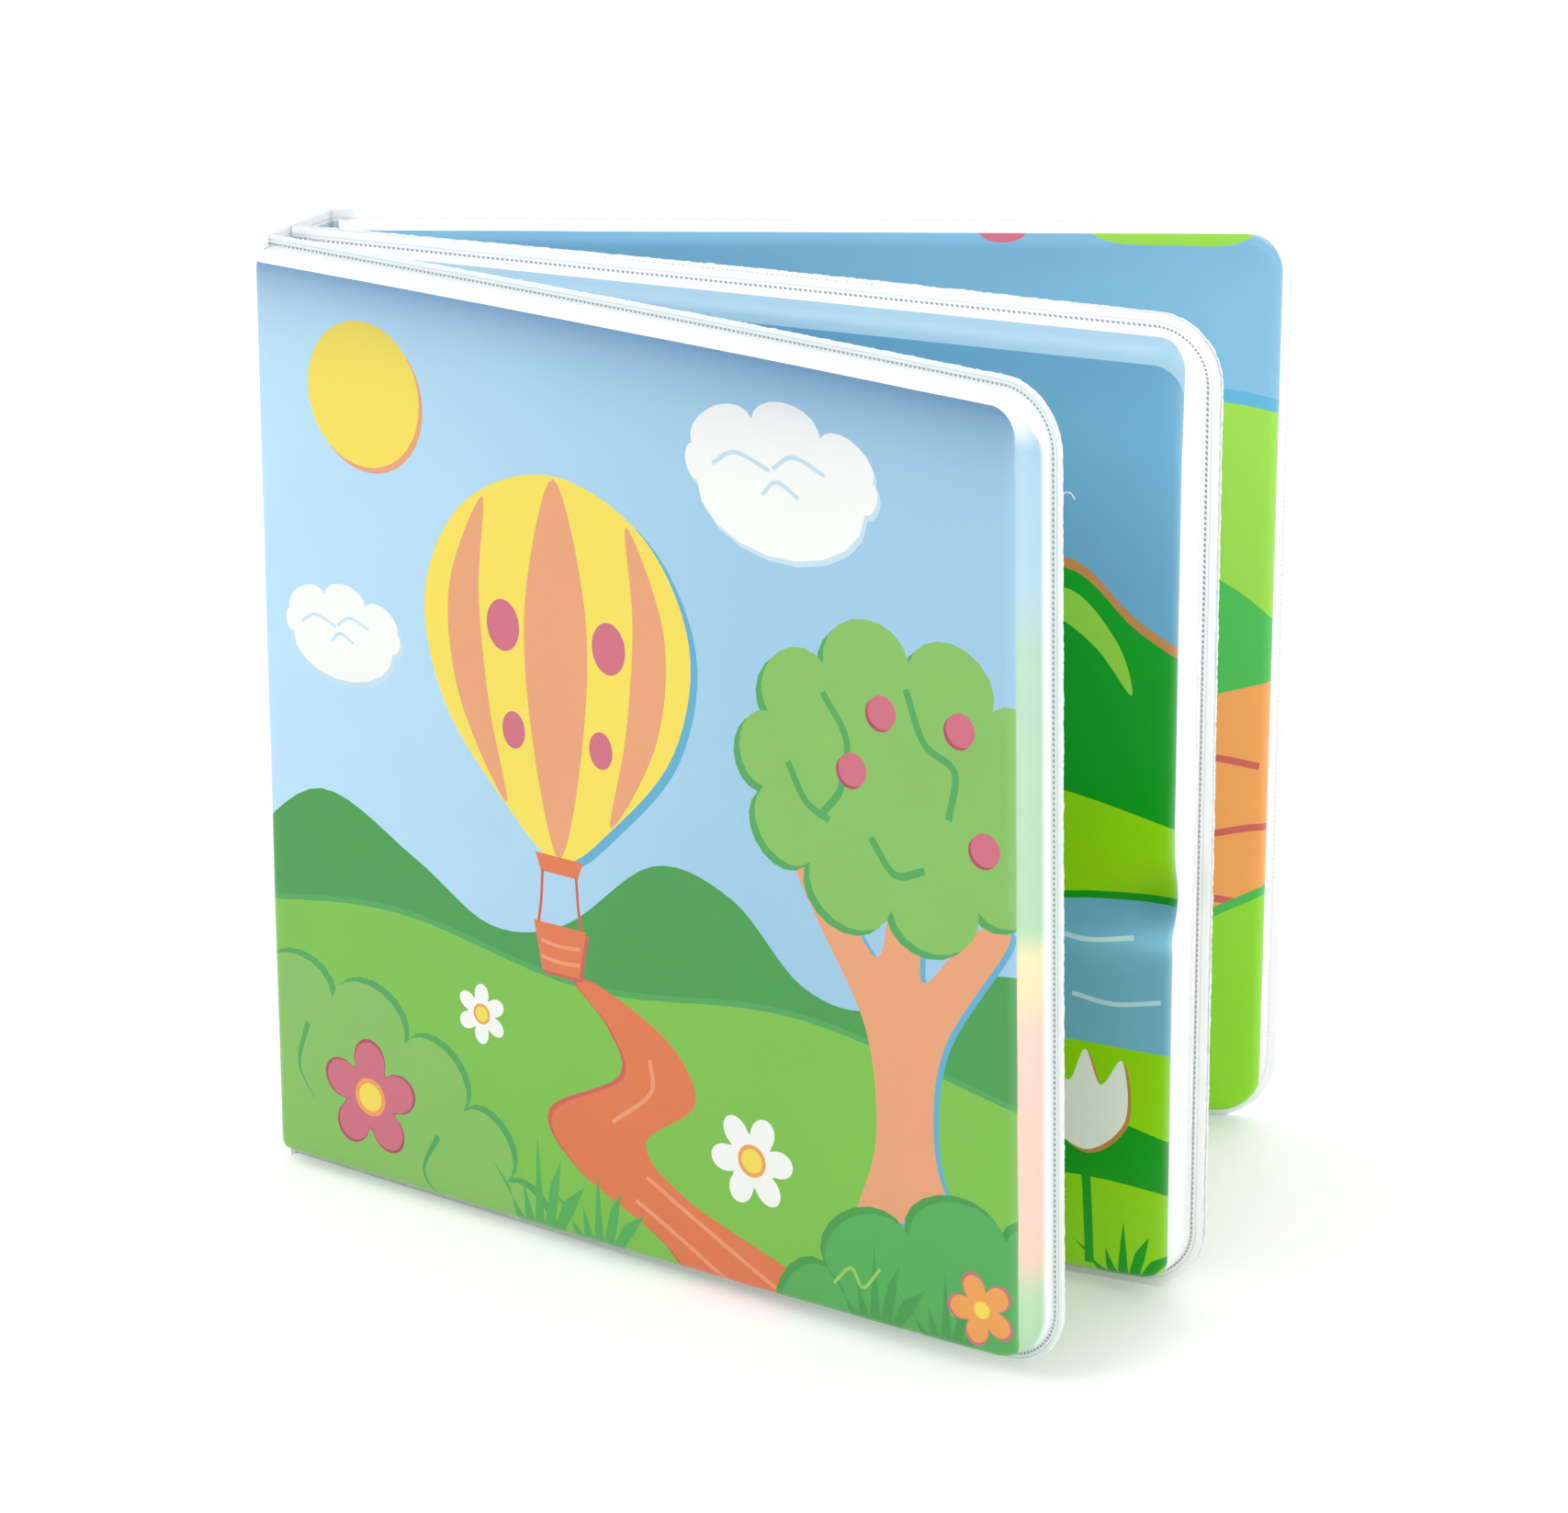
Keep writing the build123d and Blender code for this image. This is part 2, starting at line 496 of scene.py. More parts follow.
def envelope(leaf, over, under):
    """Joins a leaf's two films along their cut edges, where the two thicknesses show as a fine step."""
    points = [over["points"], under["points"]]
    count = len(over["points"])
    cut_edge = linear("#EEF2F4")
    faces = [list(t) for t in over["triangles"]] + [[i + count for i in t] for t in under["triangles"]]
    colours = [c for t in over["colours"] for c in t] + [c for t in under["colours"] for c in t]
    inset = np.concatenate([over["inset"], under["inset"]])
    run = np.concatenate([over["run"], under["run"]])
    rim_flat = over["flat"][over["rim"]]
    rows = [np.array(over["rim"])]
    total = count + len(under["points"])
    middle = np.array([leaf_width / 2, leaf_height / 2])
    inward = middle - rim_flat
    inward /= np.linalg.norm(inward, axis=1)[:, None]
    for height, pull in ((0.37, 0.0), (0.30, 0.10), (0.23, 0.0)):
        row = rim_flat + pull * inward
        points.append(leaf.place(row[:, 0], row[:, 1], np.full(len(row), height)))
        rows.append(np.arange(total, total + len(row)))
        total += len(row)
        inset = np.concatenate([inset, np.zeros(len(row))])
        run = np.concatenate([run, over["run"][over["rim"]]])
    rows.append(np.array(under["rim"]) + count)
    for upper, lower in zip(rows, rows[1:]):
        for i in range(len(upper)):
            j = (i + 1) % len(upper)
            quad = [int(upper[i]), int(lower[i]), int(lower[j]), int(upper[j])]
            faces.append(quad if leaf.side < 0 else quad[::-1])
            colours += [cut_edge] * 4
    return np.concatenate(points), faces, colours, inset, run


def mesh_object(name, points, faces):
    """An object of points in metres, with its faces."""
    mesh = bpy.data.meshes.new(name)
    mesh.from_pydata([tuple(p) for p in points], [], faces)
    return add_object(name, mesh)


def film_mesh(name, points, faces, colours, inset, run):
    """An object of film, with its print as corner colours and its weld measures at its points."""
    film = mesh_object(name, points, faces)
    mesh = film.data
    mesh.materials.append(printed_vinyl)
    ink = mesh.color_attributes.new("print", "FLOAT_COLOR", "CORNER")
    ink.data.foreach_set("color", np.array(colours, np.float32).ravel())
    for label, values in (("inset_mm", inset), ("run_mm", run)):
        measure = mesh.attributes.new(label, "FLOAT", "POINT")
        measure.data.foreach_set("value", values.astype(np.float32))
    return film


def film_piece(name, envelopes):
    """The film object of one or more welded envelopes."""
    points, faces, colours, insets, runs = zip(*envelopes)
    total = 0
    joined = []
    for part_points, part_faces in zip(points, faces):
        joined += [[i + total for i in face] for face in part_faces]
        total += len(part_points)
    piece = film_mesh(name, np.concatenate(points), joined, np.concatenate(colours),
                      np.concatenate(insets), np.concatenate(runs))
    bpy.ops.object.shade_smooth_by_angle(angle=math.radians(38))
    return piece


# Printed vinyl film (soft PVC or PEVA, calendered, printed under a clear skin): satin gloss with a
# slight orange peel, and softly lit through. The weld's knurl is guessed at 0.26 mm on the real film
# and drawn at 0.75 mm so that it shows. The welding bar's fainter crease runs beside the cut edge.
knurl_pitch = 0.75
edge_line = 0.6
printed_vinyl, tree = new_material("printed_vinyl_film")
ink = node(tree, "Attribute", {"attribute_name": "print"})
inset = node(tree, "Attribute", {"attribute_name": "inset_mm"})
run = node(tree, "Attribute", {"attribute_name": "run_mm"})
place = node(tree, "TexCoord")
mottle = node(tree, "TexNoise", Vector=place.outputs["Object"], Scale=60.0, Detail=3.0)
toned = node(tree, "VectorMath", {"operation": "SCALE"}, _0=ink.outputs["Color"],
             Scale=graded(tree, mottle.outputs[0], 0.96, 1.04))
on_lines = []
for line_inset, core, reach, strength in ((weld_line, 0.10, 0.24, 1.0), (edge_line, 0.04, 0.15, 0.34)):
    off_line = maths(tree, "ABSOLUTE", maths(tree, "SUBTRACT", inset.outputs["Fac"], line_inset))
    on_line = node(tree, "MapRange", {"interpolation_type": "SMOOTHSTEP"}, _0=off_line, _1=core, _2=reach,
                   _3=strength, _4=0.0)
    on_lines.append(on_line.outputs[0])
beads = maths(tree, "SINE", maths(tree, "MULTIPLY", run.outputs["Fac"], 2 * math.pi / knurl_pitch))
beads = node(tree, "MapRange", _0=beads, _1=-0.7, _2=0.8, _3=0.12, _4=1.0)
weld = maths(tree, "MULTIPLY", on_lines[0], beads.outputs[0])
marks = maths(tree, "MULTIPLY", maths(tree, "MAXIMUM", weld, on_lines[1]), ink.outputs["Alpha"])
colour = node(tree, "Mix", {"data_type": "RGBA"}, _0=marks, _6=toned.outputs[0], _7=linear("#69737A"))
peel = node(tree, "TexNoise", Vector=place.outputs["Object"], Scale=700.0, Detail=2.0)
relief = node(tree, "Bump", Strength=0.05, Distance=0.0002, Height=peel.outputs[0])
knurl = node(tree, "Bump", {"invert": True}, Strength=0.5, Distance=0.0002, Height=weld,
             Normal=relief.outputs[0])
vinyl = node(tree, "BsdfPrincipled", Base_Color=colour.outputs[2], IOR=1.5, Specular_IOR_Level=0.3,
             Roughness=graded(tree, mottle.outputs[0], 0.30, 0.38), Normal=knurl.outputs[0],
             Coat_Weight=0.12, Coat_Roughness=0.18, Subsurface_Weight=0.3,
             Subsurface_Radius=(1.0, 1.0, 1.0), Subsurface_Scale=0.003)
node(tree, "OutputMaterial", Surface=vinyl.outputs[0])

# The printer's inks, for every page
ink_hex = {
    "sky": "#BCE2F8",
    "sky_deep": "#9FCAE4",
    "inner_sky": "#6FABCB",
    "back_sky": "#80B7D4",
    "rim_blue": "#5FAECF",
    "white": "#F5F7F4",
    "cloud_shade": "#C7E0EF",
    "hill": "#449D4D",
    "leaf": "#86C05F",
    "leaf_dark": "#4FA75A",
    "bush": "#7DC14A",
    "grass": "#52AE58",
    "grass_line": "#9BCB5E",
    "terracotta": "#E07A4C",
    "terracotta_light": "#EB9A72",
    "peach": "#E7A377",
    "yellow": "#F3DE58",
    "orange": "#F0A455",
    "pink": "#CF6E82",
    "pink_dark": "#A94A62",
    "deep_green": "#0BA01C",
    "ochre": "#C98B4C",
    "lime": "#98DA08",
    "lime_light": "#99D345",
    "green": "#45B84D",
    "field": "#8ED526",
    "water": "#76B7D2",
    "water_line": "#BFE0EC",
    "red_brown": "#CF5F52",
}
ink_density = 0.88
inks = {name: ink_density * np.array(linear(value)) for name, value in ink_hex.items()}


def smooth(points, closed=True, steps=7):
    """A smooth curve through the points."""
    p = np.array(points, float)
    if closed:
        p = np.concatenate([p[-1:], p, p[:2]])
    else:
        p = np.concatenate([2 * p[:1] - p[1:2], p, 2 * p[-1:] - p[-2:-1]])
    t = np.linspace(0, 1, steps, endpoint=False)[:, None]
    spans = []
    for a, b, c, d in zip(p, p[1:], p[2:], p[3:]):
        spans.append(0.5 * (2 * b + (c - a) * t + (2 * a - 5 * b + 4 * c - d) * t ** 2
                            + (3 * b - a - 3 * c + d) * t ** 3))
    if not closed:
        spans.append(p[-2:-1])
    return np.concatenate(spans)


def fill(art, ink, shape):
    """Adds a shape of one ink, over the ones before it."""
    art.append((inks[ink], np.array(shape)))


def disc(u, v, radius, squash=1.0, count=36, turn=0.0):
    """A round of count points, or an oval where squash is how tall it is for its width."""
    angles = turn + np.linspace(0, 2 * math.pi, count, endpoint=False)
    return np.stack([u + radius * np.cos(angles), v + radius * squash * np.sin(angles)], axis=1)


def scallops(points, bulge=0.5):
    """A closed outline of round lobes, one between each two points."""
    p = np.array(points, float)
    lobes = []
    for a, b in zip(p, np.roll(p, -1, axis=0)):
        middle = (a + b) / 2
        out = np.array([b[1] - a[1], a[0] - b[0]]) * bulge
        angles = np.linspace(0, math.pi, 9, endpoint=False)[:, None]
        lobes.append(middle - (b - a) / 2 * np.cos(angles) + out * np.sin(angles))
    return np.concatenate(lobes)


def land(art, ink, skyline, rim_colour=None, lift=0.9):
    """The ground below a smooth skyline, with its rim's ink printed lift millimetres higher behind it."""
    base = -5.0
    top = smooth(skyline, closed=False)
    shape = np.concatenate([[(top[0][0], base), (top[-1][0], base)], top[::-1]])
    if rim_colour:
        fill(art, rim_colour, shape + np.array((0, lift)))
    fill(art, ink, shape)


def stroke(points, width, pointed=False):
    """A drawn line of one width, or one that thins to a point."""
    path = smooth(points, closed=False)
    heading = np.gradient(path, axis=0)
    heading /= np.linalg.norm(heading, axis=1)[:, None]
    across = np.stack([-heading[:, 1], heading[:, 0]], axis=1) * width / 2
    if pointed:
        across *= np.linspace(1, 0.08, len(path))[:, None]
    return np.concatenate([path + across, (path - across)[::-1]])


def tuft(u, v, spread, height, blades=5):
    """A tuft of pointed grass blades that fan out."""
    outline = []
    for i in range(blades):
        share = i / (blades - 1)
        foot = u + spread * (share - 0.5) * 0.8
        tip = u + spread * (share - 0.5) * 1.9
        reach = height * (1 - 0.45 * abs(2 * share - 1))
        outline += [(foot - spread / blades / 2, v), (foot + (tip - foot) * 0.3 - 0.4, v + reach * 0.6),
                    (tip, v + reach), (foot + (tip - foot) * 0.5 + 0.5, v + reach * 0.45)]
    outline.append((u + spread * 0.5, v))
    return outline + [(u + spread * 0.4, v - 6), (u - spread * 0.4, v - 6)]


def blossom(art, u, v, reach, petals, petal_ink, rim_colour=None, turn=0.3):
    """A plain flower: round petals about a yellow eye with an orange ring."""
    angles = np.linspace(0, 2 * math.pi, petals * 14, endpoint=False)
    swell = 0.42 + 0.58 * np.abs(np.cos(petals * (angles - turn) / 2)) ** 0.62
    shape = np.stack([np.cos(angles), np.sin(angles)], axis=1) * swell[:, None]
    if rim_colour:
        fill(art, rim_colour, np.array((u, v)) + shape * (reach + 0.5))
    fill(art, petal_ink, np.array((u, v)) + shape * reach)
    fill(art, "orange", disc(u, v, reach * 0.34))
    fill(art, "yellow", disc(u, v, reach * 0.25))


def rimmed(art, ink, rim_colour, shape, shift=(-0.8, 0.7)):
    """A shape with its outline ink printed slightly out of register behind it."""
    fill(art, rim_colour, np.array(shape) + shift)
    fill(art, ink, shape)


def tulip(art, ink, rim_colour, u, v, waist, shift):
    """A tulip's cup of three petals, waist millimetres half across where the petals part."""
    cup = [(0, 0), (6, 5), (5.5, 14), (waist, 10), (0, 15), (-waist, 10), (-5.5, 14), (-6, 5)]
    rimmed(art, ink, rim_colour, smooth(np.array((u, v)) + cup), shift)


def cloud(art, u, v, size):
    """A small cloud with three curls drawn in it."""
    outline = scallops(np.array([(-1.6, -0.35), (1.6, -0.35), (1.75, 0.15), (0.75, 0.65), (-0.55, 0.75),
                                 (-1.7, 0.2)]) * size, 0.30) + np.array((u, v))
    rimmed(art, "white", "cloud_shade", outline, (0.5, -0.7))
    for du, dv, reach in ((-0.75, 0.05, 0.55), (0.35, 0.15, 0.5), (0.0, -0.28, 0.35)):
        curl = np.array([(du - reach, dv - 0.1), (du - reach * 0.2, dv + 0.14), (du + reach, dv - 0.04)])
        fill(art, "cloud_shade", stroke(curl * size + np.array((u, v)), 0.07 * size))


cover_art = []
rimmed(cover_art, "yellow", "peach", disc(22, 121, 10.5), (0.7, -0.7))
cloud(cover_art, 97, 122, 9.0)
cloud(cover_art, 17, 86, 6.0)
land(cover_art, "hill", [(-4, 50), (12, 61), (30, 54), (44, 47), (58, 50), (74, 62), (88, 60), (100, 50),
                         (112, 49), (126, 57), (144, 60)])
land(cover_art, "bush", [(-4, 41), (26, 45), (62, 41), (100, 45), (144, 38)], "leaf_dark")
rimmed(cover_art, "terracotta", "red_brown",
       smooth([(86, -6), (76, 5), (60, 13), (55, 21), (68, 29), (66, 36), (60, 41.5), (65, 41.8), (77, 36),
               (81, 28), (72, 20), (80, 13), (102, 5), (118, -6)]), (-0.7, 0.3))
for bend in ([(100, 1), (86, 8), (72, 15)], [(92, -1), (80, 6), (70, 11)], [(66, 22), (73, 28), (73, 33)]):
    fill(cover_art, "terracotta_light", stroke(bend, 0.7))

balloon = smooth([(57, 59), (67, 66), (78, 79), (81, 95), (73, 109), (57, 115), (41, 109), (33, 95),
                  (36, 79), (47, 66)])
rimmed(cover_art, "yellow", "rim_blue", balloon, (1.2, -0.7))
for gore in ([(57, 59.5), (61.5, 76), (62.5, 96), (57, 114.6), (51.5, 96), (52.5, 76)],
             [(66.6, 66), (75, 80), (76.5, 96), (70, 110), (71, 96), (69.5, 80)],
             [(47.4, 66), (44.5, 80), (43, 96), (44, 110), (37.5, 96), (39, 80)]):
    fill(cover_art, "peach", smooth(gore))
for spot in (47.4, 66.6):
    fill(cover_art, "pink", disc(spot, 92, 3.0, 1.25))
    fill(cover_art, "pink", disc(57 + (spot - 57) * 0.83, 77, 2.1, 1.3))
fill(cover_art, "terracotta", [(52.6, 59.8), (61.4, 59.8), (60.4, 57.2), (53.6, 57.2)])
for rope in ([(53.9, 57.4), (53.6, 53), (53.0, 49.2)], [(60.1, 57.4), (60.4, 53), (61.0, 49.2)]):
    fill(cover_art, "red_brown", stroke(rope, 0.5))
rimmed(cover_art, "terracotta", "red_brown",
       [(52.2, 49.6), (61.8, 49.6), (60.4, 42.4), (53.6, 42.4)], (0.5, -0.5))
for weave in (44.4, 46.8):
    fill(cover_art, "terracotta_light", stroke([(53.4, weave), (57, weave - 0.3), (60.6, weave)], 0.6))

trunk = smooth([(109, 17), (112.5, 30), (111, 46), (103, 60), (99, 68), (105, 67), (113, 57), (116, 70),
                (121, 70), (120.5, 55), (129, 64), (135, 64), (124, 46), (122.5, 30), (127, 17), (118, 19)])
rimmed(cover_art, "peach", "rim_blue", trunk, (0.9, -0.3))
rimmed(cover_art, "leaf", "leaf_dark", scallops(disc(117, 82, 24, 0.74, 10, 0.25), 0.42), (-1.0, -0.9))
for vein in ([(104, 93), (108, 87), (107, 80), (104, 76)], [(118, 96), (121, 89), (126, 86), (125, 79)],
             [(112, 74), (116, 69.5), (121, 71)], [(98, 82), (101, 77), (105, 75)]):
    fill(cover_art, "leaf_dark", stroke(vein, 1.1))
for fruit in ((109, 83), (127, 92), (131, 76), (114, 92)):
    rimmed(cover_art, "pink", "pink_dark", disc(*fruit, 2.4), (-0.4, -0.4))

rimmed(cover_art, "leaf", "leaf_dark",
       scallops([(-6, -6), (52, -6), (46, 8), (38, 17), (27, 25), (13, 29), (-2, 28), (-10, 12)], 0.38),
       (0.9, 0.9))
fill(cover_art, "leaf_dark", stroke([(8, 24), (6, 17), (9, 12)], 1.0, True))
fill(cover_art, "leaf_dark", stroke([(33, 12), (30, 6), (33, 2)], 1.0, True))
rimmed(cover_art, "grass", "hill",
       scallops([(98, -6), (150, -6), (148, 16), (134, 20), (118, 17), (104, 9)], 0.34), (-0.8, 0.9))
for u, size in ((52, 14), (63, 11), (112, 12), (124, 10)):
    fill(cover_art, "hill" if u > 90 else "grass", tuft(u, 3, 9, size))
for u in (110, 130):
    fill(cover_art, "grass_line", stroke([(u - 5, 7), (u - 2, 10), (u, 7.5), (u + 3, 11)], 0.5))
blossom(cover_art, 20, 15, 8.6, 5, "pink", "pink_dark")
blossom(cover_art, 91, 22, 7.2, 6, "white", None, 0.1)
blossom(cover_art, 130, 9, 5.2, 5, "orange", "pink", 0.7)
blossom(cover_art, 42, 33, 4.6, 6, "white", None, 0.5)

lining_art = []
rimmed(lining_art, "yellow", "orange", disc(112, 112, 11), (0.8, -0.8))
cloud(lining_art, 40, 110, 10)
cloud(lining_art, 86, 92, 7)
land(lining_art, "hill", [(-4, 60), (20, 72), (46, 62), (72, 70), (104, 60), (144, 72)])
land(lining_art, "lime_light", [(-4, 44), (40, 52), (90, 42), (144, 50)], "green", 1.0)
for i in range(5):
    u = 18 + 26 * i
    v = 24 + 5 * (i % 2)
    fill(lining_art, "leaf_dark", stroke([(u, 0), (u + 1, v - 10), (u, v)], 1.6))
    tulip(lining_art, ("pink", "orange", "yellow")[i % 3], "red_brown", u, v - 2, 2.5, (0.6, -0.4))
    fill(lining_art, "grass", tuft(u + 12, 2, 8, 11))


def front_warp(u, v, n):
    """The front cover's head corner leans out, and its foot corner rises a little."""
    bend = (u / leaf_width) ** 2
    return u, v + 2.23 * bend * (1 - v / leaf_height), n + 4.25 * bend * v / leaf_height


front_leaf = Leaf(-page_face - film_gap, -1, 0.4, 0.4, "front_cover_hinge", front_warp)
front_glow = ((2, "#A8D2A8"), (12, "#B4D8B0"), (19, "#F0CBBA"), (50, "#F3CDC0"), (57, "#F2DFB6"),
              (62, "#E8E2B4"), (66, "#B2D6B4"), (104, "#B4D4BE"), (114, "#B0D0E2"), (138, "#A8C8DE"))
# Painted shade on the front cover: its print is darkened strongly under the head, and its welded rim is
# painted a shaded grey-blue (#DEE8E8).
front_film = film_piece("front_cover_film", [envelope(
    front_leaf,
    film_side(front_leaf, cover_art, ("sky", "sky_deep"), True, 11, glow=front_glow,
              glow_from=124.0, painted_head_shade=0.52, line=0.8, rim_colour=linear("#DEE8E8")),
    film_side(front_leaf, lining_art, ("sky",), False, 12),
)])
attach(front_film, "front_cover")
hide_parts("front_cover")


# Foam pads: die-cut sheets of white closed-cell polyethylene foam, sealed inside each leaf's films.
# They follow the film's padded form, a film's thickness inside it, and never show from outside.
foam, tree = new_material("polyethylene_foam")
place = node(tree, "TexCoord")
cell_size = 0.0009
cells = node(tree, "TexVoronoi", Vector=place.outputs["Object"], Scale=1 / cell_size)
pores = graded(tree, cells.outputs["Distance"], 0.80, 0.93)
relief = node(tree, "Bump", Strength=0.4, Distance=0.0002, Height=cells.outputs["Distance"])
skin = node(tree, "BsdfPrincipled", Base_Color=grey(tree, pores), Roughness=0.85, Normal=relief.outputs[0])
node(tree, "OutputMaterial", Surface=skin.outputs[0])
pad_setback = 0.35
pad_step = 2.4


def foam_pad(name, leaf, seed, body, cad_pad):
    """A leaf's foam pad, cut to lie just inside its films."""
    verts, edges = [], []
    outer = flange + 0.3
    for inset in (outer, outer + 0.8, outer + 1.8, outer + 3.5):
        path = edge_path(inset, leaf.pad_start + 1.2, pad_step)
        add_line(verts, edges, path)
        if inset == outer:
            rim_count = len(path)
            edges.append((rim_count - 1, 0))
    for grid_u in np.arange(leaf.pad_start + 2.2, leaf_width - outer - 5, pad_step):
        for grid_v in np.arange(outer + 4.5, leaf_height - outer - 4, pad_step):
            verts.append((grid_u, grid_v))
    flat, triangles, sources = triangulated(verts, edges)
    made_from = {original: index for index, source in enumerate(sources) for original in source}
    rim = [made_from[i] for i in range(rim_count)]
    u, v = flat[:, 0], flat[:, 1]
    top = np.maximum(padded_height(leaf, u, v, inset_of(u, v), seed) - pad_setback, 2 * pad_setback)
    count = len(flat)
    points = np.concatenate([leaf.place(u, v, top), leaf.place(u, v, np.full(count, pad_setback))])
    upper = [list(t)[::-leaf.side] for t in triangles.tolist()]
    faces = upper + [[i + count for i in t[::-1]] for t in upper]
    for i in range(rim_count):
        a, b = rim[i], rim[(i + 1) % rim_count]
        quad = [a, a + count, b + count, b]
        faces.append(quad if leaf.side < 0 else quad[::-1])
    pad = mesh_object(name, points, faces)
    pad.data.materials.append(foam)
    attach(pad, body)
    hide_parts(cad_pad)
    return pad


foam_pad("front_cover_foam", front_leaf, 11, "front_cover", "front_cover_pad")


# Back cover: the same welded leaf, its flat film outside and its pad standing inwards, so the
# padded page faces the camera over the inner leaves.
farm_art = []
cloud(farm_art, 60, 118, 8)
land(farm_art, "rim_blue", [(-4, 100), (30, 108), (70, 101), (104, 104), (124, 115), (144, 112)])
land(farm_art, "lime_light", [(-4, 98), (30, 106), (70, 99), (104, 102), (124, 113), (144, 110)])
rimmed(farm_art, "green", "rim_blue", scallops(disc(112, 100, 9, 0.9, 7), 0.42), (0.7, 0.8))
land(farm_art, "green", [(-4, 84), (36, 92), (80, 82), (112, 92), (130, 86), (144, 74)])
land(farm_art, "orange", [(-4, 66), (40, 72), (90, 62), (144, 72)], "green", 1.2)
for i in range(4):
    for j in range(3):
        u = 12 + 36 * i + 9 * (j % 2)
        v = 58 - 11 * j
        fill(farm_art, "red_brown", stroke([(u, v), (u + 8, v + 1), (u + 16, v - 0.5)], 1.1))
land(farm_art, "field", [(-4, 34), (34, 30), (74, 36), (110, 28), (144, 40)], "green", 1.5)
rimmed(farm_art, "white", "peach", [(52, 50), (70, 50), (66, 84), (56, 84)], (0.8, -0.5))
fill(farm_art, "terracotta", smooth([(54.5, 83), (67.5, 83), (64, 91), (58, 91)]))
for turn in (0.5, 2.07, 3.64, 5.21):
    arm = np.array((math.cos(turn), math.sin(turn)))
    side = np.array((-arm[1], arm[0]))
    hub = np.array((61, 84))
    sail = (hub + 4 * arm, hub + 19 * arm, hub + 19 * arm + 5 * side, hub + 4 * arm + 3.4 * side)
    fill(farm_art, "terracotta", sail)
    fill(farm_art, "red_brown", stroke([hub, hub + 10 * arm, hub + 20 * arm], 0.9))
fill(farm_art, "yellow", disc(61, 84, 2.2))
for u, v in ((18, 16), (84, 14), (111, 23)):
    blossom(farm_art, u, v, 6.4, 6, "white")
for u in (34, 78, 110):
    fill(farm_art, "green", tuft(u, 5, 9, 10))
fill(farm_art, "lime_light", smooth([(107, 141), (112, 136.9), (122, 136.3), (131, 136.7), (136, 141)]))
fill(farm_art, "pink", disc(97, 139, 4.0, 0.6))

meadow_art = []
for ring, name in enumerate(("pink", "orange", "yellow", "lime_light", "rim_blue")):
    fill(meadow_art, name, disc(70, 52, 56 - 6 * ring))
fill(meadow_art, "sky", disc(70, 52, 26))
cloud(meadow_art, 18, 62, 10)
cloud(meadow_art, 120, 66, 9)
land(meadow_art, "bush", [(-4, 48), (30, 56), (74, 46), (110, 56), (144, 48)], "leaf_dark")
land(meadow_art, "leaf", [(-4, 26), (40, 34), (96, 24), (144, 32)], "leaf_dark")
blossom(meadow_art, 24, 20, 8, 6, "white")
blossom(meadow_art, 58, 14, 7, 6, "pink", "pink_dark")
blossom(meadow_art, 92, 18, 8, 6, "yellow")
blossom(meadow_art, 122, 12, 7, 6, "white")


def back_warp(u, v, n):
    """The back cover's foot corner leans out a little."""
    return u, v, n - 1.2 * (u / leaf_width) ** 2 * (1 - v / leaf_height)


back_leaf = Leaf(cover_face, -1, 1.0, 1.0, "back_cover_hinge", back_warp)
# Painted light on the back cover: gain lifts its inks for the light through its films, and its weld line is
# drawn faint where light burns its rim out white.
back_film = film_piece("back_cover_film", [envelope(
    back_leaf,
    film_side(back_leaf, farm_art, ("back_sky",), True, 21, (2.6, 2.2, 1.74), (1.72, 2.15, 1.72),
              line=0.1, gain=1.28),
    film_side(back_leaf, meadow_art, ("sky", "sky_deep"), False, 22),
)])
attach(back_film, "back_cover")
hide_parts("back_cover")
foam_pad("back_cover_foam", back_leaf, 21, "back_cover", "back_cover_pad")


# Pages: one welded spread folded at the gutter, its two padded leaves back to back. The near leaf's
# head rounds over more softly than the covers do, and its fore edge has a shallow buckle.
pond_art = []
cloud(pond_art, 46, 120, 9)
land(pond_art, "deep_green", [(-4, 86), (24, 100), (50, 88), (80, 84), (104, 99), (120, 105), (131, 97),
                              (144, 90)], "ochre", 1.5)
fill(pond_art, "lime_light", smooth([(112, 100), (121, 102), (128, 95), (130, 88), (125, 94), (119, 98)]))
land(pond_art, "lime", [(-4, 70), (40, 76), (84, 66), (112, 74), (144, 68)])
rimmed(pond_art, "water", "deep_green",
       smooth([(20, 46), (50, 55), (92, 52), (124, 58), (150, 55), (150, 38), (112, 37), (70, 32),
               (34, 35)]), (0, 1.1))
for u, v in ((46, 45), (74, 42), (104, 48), (122, 44), (118, 53)):
    fill(pond_art, "water_line", stroke([(u, v), (u + 6, v - 0.8), (u + 13, v + 0.4)], 0.7))
rimmed(pond_art, "terracotta", "red_brown", smooth([(60, 50), (88, 50), (82, 43), (66, 43)]), (0, -0.6))
fill(pond_art, "red_brown", stroke([(74, 49), (74, 60), (74, 75)], 1.0))
fill(pond_art, "white", [(75.2, 52), (89, 52), (75.2, 73)])
fill(pond_art, "yellow", [(72.8, 53), (63, 53), (72.8, 69)])
land(pond_art, "deep_green", [(-4, 20), (40, 24), (88, 18), (118, 27), (144, 22)], "green", 0)
land(pond_art, "lime", [(-4, 14), (40, 17), (88, 12), (120, 17), (144, 15)])
for u, v, name in ((30, 26, "white"), (96, 22, "yellow"), (124, 25, "white")):
    fill(pond_art, "deep_green", stroke([(u + 1, 4), (u + 0.6, v - 12), (u, v - 3)], 1.3))
    tulip(pond_art, name, "ochre", u, v - 4, 2.4, (0.5, -0.5))
for u in (52, 110, 130):
    fill(pond_art, "deep_green", tuft(u, 3, 8, 8))

